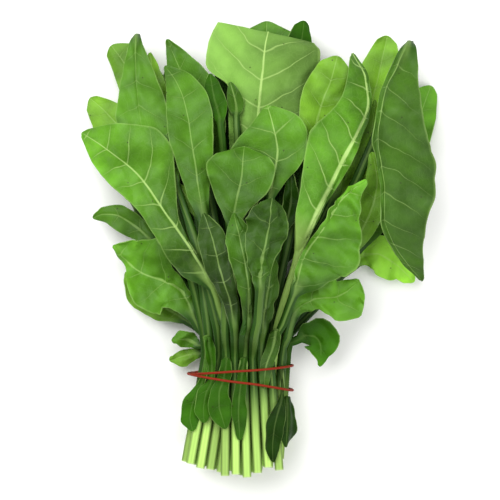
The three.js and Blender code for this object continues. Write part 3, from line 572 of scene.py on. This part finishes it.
def lower_face(piece, shape, row, column, turned):
    """1 at the corners of the face that grew as the lower one and 0 at those of the other."""
    count = len(piece.data.vertices)
    places = np.empty(3 * count)
    piece.data.vertices.foreach_get("co", places)
    first = places.reshape(-1, 3)[:len(row)]
    above = ((first - shape.points[row, column]) * shape.normals()[row, column]).sum(axis=1)
    first_is_lower = (above.mean() > 0) == turned
    return np.repeat([1.0, 0.0] if first_is_lower else [0.0, 1.0], count // 2)


def describe_leaf(piece, node, shape, settings, draw, row, column):
    """Tells each corner of a leaf where it is, for READINGS, and how the leaf looks there."""
    under = lower_face(piece, shape, row, column, node in UNDERSIDE_UP)
    if node in FOLDED_BACK:
        under *= FOLDED_UNDER
    row, column = np.tile(row, 2), np.tile(column, 2)
    share = shape.share[column]
    across = shape.across[row, column]
    tint = np.full(len(row), draw.uniform())
    plain = settings.rib_contrast * (DARK_RIBS if slot_of(node) == "leaf_dark" else 1)
    contrast = np.full(len(row), PALE_RIBS.get(node, plain))
    # each leaf's painted light and shade, partly its own tone, from neck to tip and across
    neck, tip, gain = LEAF_LIGHT_AND_TONE.get(node, EVEN_LIGHT_AND_TONE)
    shade = (neck + (tip - neck) * np.clip(shape.along[row] / shape.length, 0, 1)) * (1 + gain * share)
    if "_under_" in node:
        shade = HIDDEN_SHADE + (1 - HIDDEN_SHADE) * under
    stalk = np.full(len(row), draw.uniform(*STALK_TONES))
    place = [across / MM, shape.reached[row, column] / MM, shape.to_cut[row] / MM]
    veins = [shape.veins[row, column], np.abs(across) / shape.rib[row], np.abs(share)]
    kind = [shape.opened[row], under, tint]
    for name, parts in zip(READINGS, (place, veins, kind, [contrast, shade, stalk])):
        set_attribute(piece, name, parts)


def make_leaf(node, settings, materials):
    """Makes the leaf that stands for a CAD node, and hands it to the frame."""
    draw = np.random.default_rng(settings.seed * 1000 + LEAVES.index(node))
    shape = LeafShape(node, settings, draw)
    piece, row, column = lay_grid(node.replace("leaf_", "spinach_leaf_"), shape.points)
    thicken(piece, shape.thickness[row, column])
    describe_leaf(piece, node, shape, settings, draw, row, column)
    deselect_all()
    piece.select_set(True)
    bpy.ops.object.shade_smooth_by_angle(angle=math.radians(SHARPEST))
    slot = slot_of(node)
    piece.data.materials.clear()
    piece.data.materials.append(materials[slot])
    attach(piece, "root")
    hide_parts(node)


def slot_of(node):
    """Material slot that the record gives a node."""
    parts = frame["record"]["subparts"]
    return next(part["material_slot"] for part in parts if part["node"] == node)


# ---- Materials ----
def add(tree, kind, inputs=None, **settings):
    """Adds a node with its settings, and sets or links its inputs, by name or by place.

    By place, a map range has its value, the ends it comes from and the ends it goes to at 0 to 4, and a
    colour mix has its share at 0 and its two colours at 6 and 7.
    """
    made = tree.nodes.new(kind)
    for name, value in settings.items():
        setattr(made, name, value)
    for key, value in (inputs or {}).items():
        if isinstance(value, bpy.types.NodeSocket):
            tree.links.new(value, made.inputs[key])
        else:
            made.inputs[key].default_value = value
    return made


def new_material(name):
    """An empty node material with its shader and output."""
    material = bpy.data.materials.new(name)
    material.use_nodes = True
    tree = material.node_tree
    tree.nodes.clear()
    shader = add(tree, "ShaderNodeBsdfPrincipled")
    add(tree, "ShaderNodeOutputMaterial", {"Surface": shader.outputs[0]})
    return material, tree, shader


def leaf_readings(tree):
    """Sockets for what the corners of a leaf know, by the names in READINGS."""
    read = {}
    for name, keys in READINGS.items():
        read[name] = add(tree, "ShaderNodeAttribute", attribute_name=name).outputs["Vector"]
        read.update(zip(keys, add(tree, "ShaderNodeSeparateXYZ", {0: read[name]}).outputs))
    return read


def side_veins(tree, read, settings):
    """Where the side veins show, and how bright the blade between them is where it swells to the light."""
    wobble = add(tree, "ShaderNodeTexNoise",
                 {"Vector": read["leaf_mm"], "Scale": 1 / WOBBLE_SIZE, "Detail": 1.0}).outputs[0]
    phase = add(tree, "ShaderNodeMath", {0: wobble, 1: VEIN_WOBBLE, 2: read["phase"]},
                operation="MULTIPLY_ADD").outputs[0]
    turn = add(tree, "ShaderNodeMath", {0: phase}, operation="FRACT").outputs[0]
    centred = add(tree, "ShaderNodeMath", {0: turn, 1: 0.5}, operation="SUBTRACT").outputs[0]
    off_vein = add(tree, "ShaderNodeMath", {0: centred}, operation="ABSOLUTE").outputs[0]
    bulge = add(tree, "ShaderNodeMapRange", {0: off_vein, 1: 0.0, 2: 0.4, 3: 0.9, 4: 1.06},
                interpolation_type="SMOOTHSTEP").outputs[0]
    half = 0.5 * settings.vein_width / settings.vein_spacing
    width = add(tree, "ShaderNodeMapRange",
                {0: read["share"], 1: 0.0, 2: 1.0, 3: 1.5 * half, 4: 0.4 * half}).outputs[0]
    bold = add(tree, "ShaderNodeMath", {0: read["contrast"], 1: 0.55}, operation="ADD").outputs[0]
    width = add(tree, "ShaderNodeMath", {0: width, 1: bold}, operation="MULTIPLY").outputs[0]
    line = add(tree, "ShaderNodeMapRange", {0: off_vein, 1: 0.0, 2: width, 3: 1.0, 4: 0.0},
               interpolation_type="SMOOTHSTEP").outputs[0]
    fade = add(tree, "ShaderNodeMapRange", {0: read["share"], 1: 0.55, 2: 0.95, 3: 1.0, 4: 0.25}).outputs[0]
    line = add(tree, "ShaderNodeMath", {0: line, 1: fade}, operation="MULTIPLY").outputs[0]
    return line, bulge


def net_of_veins(tree, read, settings):
    """Where the finest veins show, which close into small meshes."""
    flat = add(tree, "ShaderNodeCombineXYZ", {0: read["across"], 1: read["along"]}).outputs[0]
    warp = add(tree, "ShaderNodeTexNoise", {"Vector": read["leaf_mm"], "Scale": 1 / WARP_SIZE}).outputs[1]
    bent = add(tree, "ShaderNodeVectorMath", {0: warp, 1: (WARP, WARP, 0.0), 2: flat},
               operation="MULTIPLY_ADD").outputs[0]
    cells = add(tree, "ShaderNodeTexVoronoi", {"Vector": bent, "Scale": MM / settings.net_size},
                feature="DISTANCE_TO_EDGE").outputs[0]
    return add(tree, "ShaderNodeMapRange", {0: cells, 1: 0.0, 2: 0.1, 3: 1.0, 4: 0.0}).outputs[0]


def blade_ground(tree, read, blade, bulge, settings):
    """Green in darker and lighter patches, partly its own and partly painted light and shade, with painted
    shade along the veins and near the neck, painted light where it swells between them and by each leaf's
    brightness, and greyer from below.
    """
    # the patches are partly the blade's own uneven green and partly painted light and shade of its
    # undulations
    deeper_and_shaded = dimmed(blade, 0.72)
    fresh = (1.16 * blade[0], 1.14 * blade[1], blade[2], 1.0)
    cloud = add(tree, "ShaderNodeTexNoise",
                {"Vector": read["leaf_mm"], "Scale": 1 / CLOUD_SIZE, "Detail": 3.0}).outputs[0]
    patch = add(tree, "ShaderNodeMapRange", {0: cloud, 1: 0.32, 2: 0.68, 3: 0.0, 4: 1.0}).outputs[0]
    base = add(tree, "ShaderNodeMix", {0: patch, 6: deeper_and_shaded, 7: fresh}, data_type="RGBA").outputs[2]
    tint = add(tree, "ShaderNodeMix", {0: read["tint"], 6: (0.9, 0.95, 0.9, 1), 7: (1.03, 1.03, 0.95, 1)},
               data_type="RGBA").outputs[2]
    base = add(tree, "ShaderNodeMix", {0: 1.0, 6: base, 7: tint}, data_type="RGBA",
               blend_type="MULTIPLY").outputs[2]
    below = add(tree, "ShaderNodeMath", {0: read["under"], 1: 0.45}, operation="MULTIPLY").outputs[0]
    base = add(tree, "ShaderNodeMix", {0: below, 6: base, 7: tuple(settings.underside)},
               data_type="RGBA").outputs[2]
    # painted shade: darker near the neck, where the bunch shades the blade, times each leaf's painted
    # brightness and the painted light of the vein swells
    painted_shade = add(tree, "ShaderNodeMapRange",
                {0: read["to_cut"], 1: SHADED[0], 2: SHADED[1], 3: SHADED_BRIGHTNESS, 4: 1.0}).outputs[0]
    painted_shade = add(tree, "ShaderNodeMath", {0: painted_shade, 1: read["shade"]}, operation="MULTIPLY").outputs[0]
    painted_shade = add(tree, "ShaderNodeMath", {0: painted_shade, 1: bulge}, operation="MULTIPLY").outputs[0]
    shade = add(tree, "ShaderNodeCombineColor", {0: painted_shade, 1: painted_shade, 2: painted_shade}).outputs[0]
    return add(tree, "ShaderNodeMix", {0: 1.0, 6: base, 7: shade}, data_type="RGBA",
               blend_type="MULTIPLY").outputs[2]


def blade_colour(tree, read, base, line, net, settings):
    """The blade's ground under its pale veins, its pale edge painted as light shining through it, and a few
    specks of soil.
    """
    rib = add(tree, "ShaderNodeMapRange", {0: read["rib"], 1: 0.35, 2: 1.0, 3: 1.0, 4: 0.0},
              interpolation_type="SMOOTHSTEP").outputs[0]
    # painted light: a pale line along the margin, where light would shine through the thin edge
    edge = add(tree, "ShaderNodeMapRange",
               {0: read["share"], 1: 0.95, 2: 1.0, 3: 0.0, 4: EDGE_LIGHT_STRENGTH}).outputs[0]
    pale = []
    for mask, strength in ((net, NET_STRENGTH), (line, SIDE_VEIN_STRENGTH), (rib, 1.0)):
        seen = add(tree, "ShaderNodeMath", {0: mask, 1: read["contrast"]}, operation="MULTIPLY").outputs[0]
        pale.append(add(tree, "ShaderNodeMath", {0: seen, 1: strength}, operation="MULTIPLY").outputs[0])
    fine, side, middle = pale
    for share in (fine, side, edge, middle):
        base = add(tree, "ShaderNodeMix", {0: share, 6: base, 7: tuple(settings.vein)},
                   data_type="RGBA").outputs[2]
    spot = add(tree, "ShaderNodeTexVoronoi", {"Vector": read["leaf_mm"], "Scale": 1 / SPECK_SPACING},
               voronoi_dimensions="2D").outputs[0]
    speck = add(tree, "ShaderNodeMapRange",
                {0: spot, 1: 0.5 * SPECK_SIZE, 2: SPECK_SIZE, 3: 0.7, 4: 0.0}).outputs[0]
    return add(tree, "ShaderNodeMix", {0: speck, 6: base, 7: tuple(settings.soil)},
               data_type="RGBA").outputs[2]


def bare_stalk(tree, read, fibre, settings):
    """Pale stalk below the tie, with a dull crest and flanks that fall away from the light."""
    base = add(tree, "ShaderNodeMix", {0: fibre, 6: dimmed(settings.petiole, 0.75),
                                       7: tuple(settings.petiole)}, data_type="RGBA").outputs[2]
    crest = add(tree, "ShaderNodeMapRange", {0: read["share"], 1: 0.0, 2: 0.5, 3: 0.92, 4: 1.06},
                interpolation_type="SMOOTHSTEP").outputs[0]
    flank = add(tree, "ShaderNodeMapRange", {0: read["share"], 1: 0.6, 2: 1.0, 3: 1.0, 4: 0.5},
                interpolation_type="SMOOTHSTEP").outputs[0]
    tone = add(tree, "ShaderNodeMath", {0: crest, 1: flank}, operation="MULTIPLY").outputs[0]
    tone = add(tree, "ShaderNodeMath", {0: tone, 1: read["stalk"]}, operation="MULTIPLY").outputs[0]
    tone = add(tree, "ShaderNodeCombineColor", {0: tone, 1: tone, 2: tone}).outputs[0]
    return add(tree, "ShaderNodeMix", {0: 1.0, 6: base, 7: tone}, data_type="RGBA",
               blend_type="MULTIPLY").outputs[2]


def winged_stalk(tree, read, fibre, settings):
    """Green wings of blade along the stalk among the leaves, darkened with painted shade of the bunch, with
    a paler ridge between them.
    """
    # painted shade: the dark green of the stalks where the leaves shade them
    wing = add(tree, "ShaderNodeMix", {0: fibre, 6: dimmed(settings.shaded, 0.6),
                                       7: tuple(settings.shaded)}, data_type="RGBA").outputs[2]
    ridge = add(tree, "ShaderNodeMapRange", {0: read["share"], 1: 0.15, 2: 0.6, 3: 1.0, 4: 0.0},
                interpolation_type="SMOOTHSTEP").outputs[0]
    seen = add(tree, "ShaderNodeMath", {0: read["contrast"], 1: 0.55}, operation="MULTIPLY").outputs[0]
    ridge = add(tree, "ShaderNodeMath", {0: ridge, 1: seen}, operation="MULTIPLY").outputs[0]
    palest = add(tree, "ShaderNodeMapRange",
                 {0: read["contrast"], 1: 0.8, 2: 1.0, 3: 0.0, 4: 0.9}).outputs[0]
    ridge = add(tree, "ShaderNodeMath", {0: ridge, 1: palest}, operation="MAXIMUM").outputs[0]
    return add(tree, "ShaderNodeMix", {0: ridge, 6: wing, 7: dimmed(settings.petiole, 0.95)},
               data_type="RGBA").outputs[2]


def stalk_colour(tree, read, settings):
    """Fibrous stalk: pale below the tie, green and in painted shade among the leaves, and wet where it is
    cut.
    """
    streak = add(tree, "ShaderNodeVectorMath", {0: read["leaf_mm"], 1: FIBRE_WAVES},
                 operation="MULTIPLY").outputs[0]
    fibre = add(tree, "ShaderNodeTexNoise", {"Vector": streak, "Scale": 1.0, "Detail": 2.0}).outputs[0]
    bare = bare_stalk(tree, read, fibre, settings)
    winged = winged_stalk(tree, read, fibre, settings)
    greened = add(tree, "ShaderNodeMapRange",
                  {0: read["to_cut"], 1: GREENED[0], 2: GREENED[1], 3: 0.0, 4: 1.0},
                  interpolation_type="SMOOTHSTEP").outputs[0]
    base = add(tree, "ShaderNodeMix", {0: greened, 6: bare, 7: winged}, data_type="RGBA").outputs[2]
    sliced = add(tree, "ShaderNodeMapRange",
                 {0: read["to_cut"], 1: 0.0, 2: WET_CUT, 3: 1.0, 4: 0.0}).outputs[0]
    base = add(tree, "ShaderNodeMix", {0: sliced, 6: base, 7: tuple(settings.cut)},
               data_type="RGBA").outputs[2]
    return base, fibre


def leaf_relief(tree, read, line, net, fibre):
    """Fine grain, sunken veins on the upper face and raised ones on the lower, fibres on the stalk."""
    grain = add(tree, "ShaderNodeTexNoise",
                {"Vector": read["leaf_mm"], "Scale": 1 / GRAIN_SIZE, "Detail": 2.0}).outputs[0]
    side = add(tree, "ShaderNodeMapRange", {0: read["under"], 1: 0.0, 2: 1.0, 3: -1.0, 4: 1.0}).outputs[0]
    ridge = add(tree, "ShaderNodeMath", {0: net, 1: 0.4, 2: line}, operation="MULTIPLY_ADD").outputs[0]
    ridge = add(tree, "ShaderNodeMath", {0: ridge, 1: side}, operation="MULTIPLY").outputs[0]
    ridge = add(tree, "ShaderNodeMath", {0: ridge, 1: read["opened"]}, operation="MULTIPLY").outputs[0]
    height = add(tree, "ShaderNodeMath", {0: grain, 1: 0.35, 2: ridge}, operation="MULTIPLY_ADD").outputs[0]
    height = add(tree, "ShaderNodeMath", {0: fibre, 1: 0.6, 2: height}, operation="MULTIPLY_ADD").outputs[0]
    bump = add(tree, "ShaderNodeBump", {"Strength": 0.6, "Distance": LEAF_RELIEF, "Height": height})
    return bump.outputs[0], grain


def leaf_material(name, blade, shine, settings):
    """Fresh leaf tissue: a waxy blade over a pale net of veins, wetter and paler along its petiole."""
    material, tree, shader = new_material(name)
    read = leaf_readings(tree)
    line, bulge = side_veins(tree, read, settings)
    net = net_of_veins(tree, read, settings)
    stalk, fibre = stalk_colour(tree, read, settings)
    ground = blade_ground(tree, read, blade, bulge, settings)
    leafy = blade_colour(tree, read, ground, line, net, settings)
    colour = add(tree, "ShaderNodeMix", {0: read["opened"], 6: stalk, 7: leafy}, data_type="RGBA").outputs[2]
    relief, grain = leaf_relief(tree, read, line, net, fibre)
    wax = add(tree, "ShaderNodeMapRange", {0: grain, 1: 0.0, 2: 1.0, 3: 0.42, 4: 0.56}).outputs[0]
    rough = add(tree, "ShaderNodeMath", {0: read["under"], 1: 0.14, 2: wax},
                operation="MULTIPLY_ADD").outputs[0]
    tree.links.new(colour, shader.inputs["Base Color"])
    tree.links.new(relief, shader.inputs["Normal"])
    tree.links.new(rough, shader.inputs["Roughness"])
    shader.inputs["Specular IOR Level"].default_value = shine
    return material


def rubber_material(settings):
    """Dyed natural rubber, cut from a tube: a soft sheen over a fine, uneven grain."""
    material, tree, shader = new_material("natural_rubber")
    place = add(tree, "ShaderNodeTexCoord").outputs["Object"]
    specks = add(tree, "ShaderNodeTexNoise",
                 {"Vector": place, "Scale": 1 / RUBBER_GRAIN, "Detail": 3.0}).outputs[0]
    dark = dimmed(settings.colour, 0.7)
    colour = add(tree, "ShaderNodeMix", {0: specks, 6: dark, 7: tuple(settings.colour)},
                 data_type="RGBA").outputs[2]
    tree.links.new(colour, shader.inputs["Base Color"])
    shader.inputs["Specular IOR Level"].default_value = 0.2
    rough = add(tree, "ShaderNodeMapRange", {0: specks, 1: 0.0, 2: 1.0, 3: 0.5, 4: 0.7}).outputs[0]
    tree.links.new(rough, shader.inputs["Roughness"])
    bump = add(tree, "ShaderNodeBump", {"Strength": 0.3, "Distance": RUBBER_RELIEF, "Height": specks})
    tree.links.new(bump.outputs[0], shader.inputs["Normal"])
    return material


def leaf_materials(settings):
    """The four greens of the bunch, by the record's slots, each with its shine."""
    # the bright green holds painted light through thin blades and the dark green painted shade in the bunch
    greens = {"leaf_mid": (settings.mid, 0.2), "leaf_bright": (settings.bright, 0.2),
              "leaf_dark": (settings.dark, 0.07), "leaf_pale": (settings.pale, 0.12)}
    return {slot: bpy.data.materials.get("spinach_" + slot)
            or leaf_material("spinach_" + slot, tuple(colour), shine, settings)
            for slot, (colour, shine) in greens.items()}


# ---- The rubber band ----
def make_band(settings):
    """Makes the rubber band from its solid: smoothed round and finished in rubber."""
    deselect_all()
    source = frame["nodes"]["rubber_band"]
    mesh = source.data.copy()
    piece = bpy.data.objects.new("rubber_tie", mesh)
    bpy.context.scene.collection.objects.link(piece)
    piece.select_set(True)
    bpy.context.view_layer.objects.active = piece
    bpy.ops.object.mode_set(mode="EDIT")
    bpy.ops.mesh.select_all(action="SELECT")
    bpy.ops.mesh.remove_doubles(threshold=SAME_PLACE)
    bpy.ops.mesh.tris_convert_to_quads(face_threshold=math.pi, shape_threshold=math.pi)
    bpy.ops.object.mode_set(mode="OBJECT")
    round_off = piece.modifiers.new("Round", "SUBSURF")
    round_off.levels = round_off.render_levels = 2
    bpy.ops.object.modifier_apply(modifier=round_off.name)
    bpy.ops.object.shade_smooth()
    piece.data.materials.clear()
    piece.data.materials.append(rubber_material(settings))
    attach(piece, "root")
    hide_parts("rubber_band")


# ---- Operators ----
class MakesLeaves:
    """Shared by the leaf operators: makes the leaves that chosen() names."""

    def execute(self, context):
        settings = context.scene.spinach_leaves
        materials = leaf_materials(settings)
        for node in LEAVES:
            if self.chosen(node):
                make_leaf(node, settings, materials)
        return {"FINISHED"}


class SPINACH_OT_lower_leaves(MakesLeaves, bpy.types.Operator):
    """Make the large leaves that the bunch lies on"""
    bl_idname = "spinach.lower_leaves"
    bl_label = "Lower leaves"

    def chosen(self, node):
        return node.startswith("leaf_under_")


class SPINACH_OT_long_leaves(MakesLeaves, bpy.types.Operator):
    """Make the long leaves that fan out above the tie"""
    bl_idname = "spinach.long_leaves"
    bl_label = "Long leaves"

    def chosen(self, node):
        return not node.startswith(("leaf_under_", "leaf_drop_"))


class SPINACH_OT_short_leaves(MakesLeaves, bpy.types.Operator):
    """Make the short leaves that hang out below the tie"""
    bl_idname = "spinach.short_leaves"
    bl_label = "Short leaves"

    def chosen(self, node):
        return node.startswith("leaf_drop_")


class SPINACH_OT_rubber_band(bpy.types.Operator):
    """Make the rubber band round the neck of the bunch"""
    bl_idname = "spinach.rubber_band"
    bl_label = "Rubber band"

    def execute(self, context):
        make_band(context.scene.spinach_band)
        return {"FINISHED"}


class SPINACH_OT_stage(bpy.types.Operator):
    """Make the pale table, the soft lights and the camera"""
    bl_idname = "spinach.stage"
    bl_label = "Stage"

    def execute(self, context):
        settings = context.scene.spinach_stage
        make_floor(settings)
        make_lights(settings)
        make_camera(settings)
        return {"FINISHED"}


def make_floor(settings):
    """A large matt table top, painted pale, so that it takes only a soft shadow."""
    deselect_all()
    bpy.ops.mesh.primitive_plane_add(size=TABLE, location=(0, 0, 0))
    floor = bpy.context.object
    floor.name = "table_top"
    material, tree, shader = new_material("matt_table_top")
    place = add(tree, "ShaderNodeTexCoord").outputs["Object"]
    cloud = add(tree, "ShaderNodeTexNoise", {"Vector": place, "Scale": 3.0}).outputs[0]
    low = dimmed(settings.floor_colour, 0.98)
    colour = add(tree, "ShaderNodeMix", {0: cloud, 6: low, 7: tuple(settings.floor_colour)},
                 data_type="RGBA").outputs[2]
    tree.links.new(colour, shader.inputs["Base Color"])
    shader.inputs["Roughness"].default_value = 0.8
    shader.inputs["Specular IOR Level"].default_value = 0.1
    floor.data.materials.append(material)


def make_lights(settings):
    """A broad key light from the upper left, a fill from the right, and an even sky."""
    powers = {"key": settings.key_power, "fill": settings.fill_power}
    for name, (place, size) in LIGHTS.items():
        bpy.ops.object.light_add(type="AREA", location=place)
        light = bpy.context.object
        light.name = name + "_light"
        light.data.size = size
        light.data.energy = powers[name]
        light.rotation_euler = (-Vector(place)).to_track_quat("-Z", "Y").to_euler()
    world = bpy.data.worlds.new("studio")
    world.use_nodes = True
    background = world.node_tree.nodes["Background"]
    background.inputs["Color"].default_value = (1, 1, 1, 1)
    background.inputs["Strength"].default_value = settings.sky
    bpy.context.scene.world = world
    bpy.context.scene.view_settings.view_transform = "Standard"


def make_camera(settings):
    """A long lens that looks straight down on the bunch."""
    bpy.ops.object.camera_add(location=(*OVERHEAD, settings.camera_height), rotation=(0, 0, 0))
    camera = bpy.context.object
    camera.name = "overhead_camera"
    camera.data.sensor_width = SENSOR
    camera.data.sensor_fit = "HORIZONTAL"
    camera.data.lens = SENSOR * (settings.camera_height - LEAF_HEIGHT) / settings.view_width
    camera.data.clip_end = FAR
    bpy.context.scene.camera = camera


# ---- Panel and add-on ----
class SPINACH_PT_bunch(bpy.types.Panel):
    """Lists the pieces of the bunch and their settings"""
    bl_idname = "SPINACH_PT_bunch"
    bl_label = "Spinach bunch"
    bl_space_type = "VIEW_3D"
    bl_region_type = "UI"
    bl_category = "Spinach"

    def draw(self, context):
        for operator in OPERATORS:
            self.layout.operator(operator.bl_idname)
        for name, kind in SETTINGS.items():
            box = self.layout.box()
            for key in kind.__annotations__:
                box.prop(getattr(context.scene, name), key)


SETTINGS = {"spinach_leaves": SpinachLeafSettings, "spinach_band": SpinachBandSettings,
            "spinach_stage": SpinachStageSettings}
OPERATORS = (SPINACH_OT_lower_leaves, SPINACH_OT_long_leaves, SPINACH_OT_short_leaves,
             SPINACH_OT_rubber_band, SPINACH_OT_stage)


def register():
    for kind in (*SETTINGS.values(), *OPERATORS, SPINACH_PT_bunch):
        bpy.utils.register_class(kind)
    for name, kind in SETTINGS.items():
        setattr(bpy.types.Scene, name, PointerProperty(type=kind))


def unregister():
    for name in SETTINGS:
        delattr(bpy.types.Scene, name)
    for kind in (SPINACH_PT_bunch, *OPERATORS[::-1], *tuple(SETTINGS.values())[::-1]):
        bpy.utils.unregister_class(kind)


def main():
    register()
    bpy.ops.spinach.lower_leaves()
    bpy.ops.spinach.long_leaves()
    bpy.ops.spinach.short_leaves()
    bpy.ops.spinach.rubber_band()
    bpy.ops.spinach.stage()


if __name__ == "__main__":
    main()
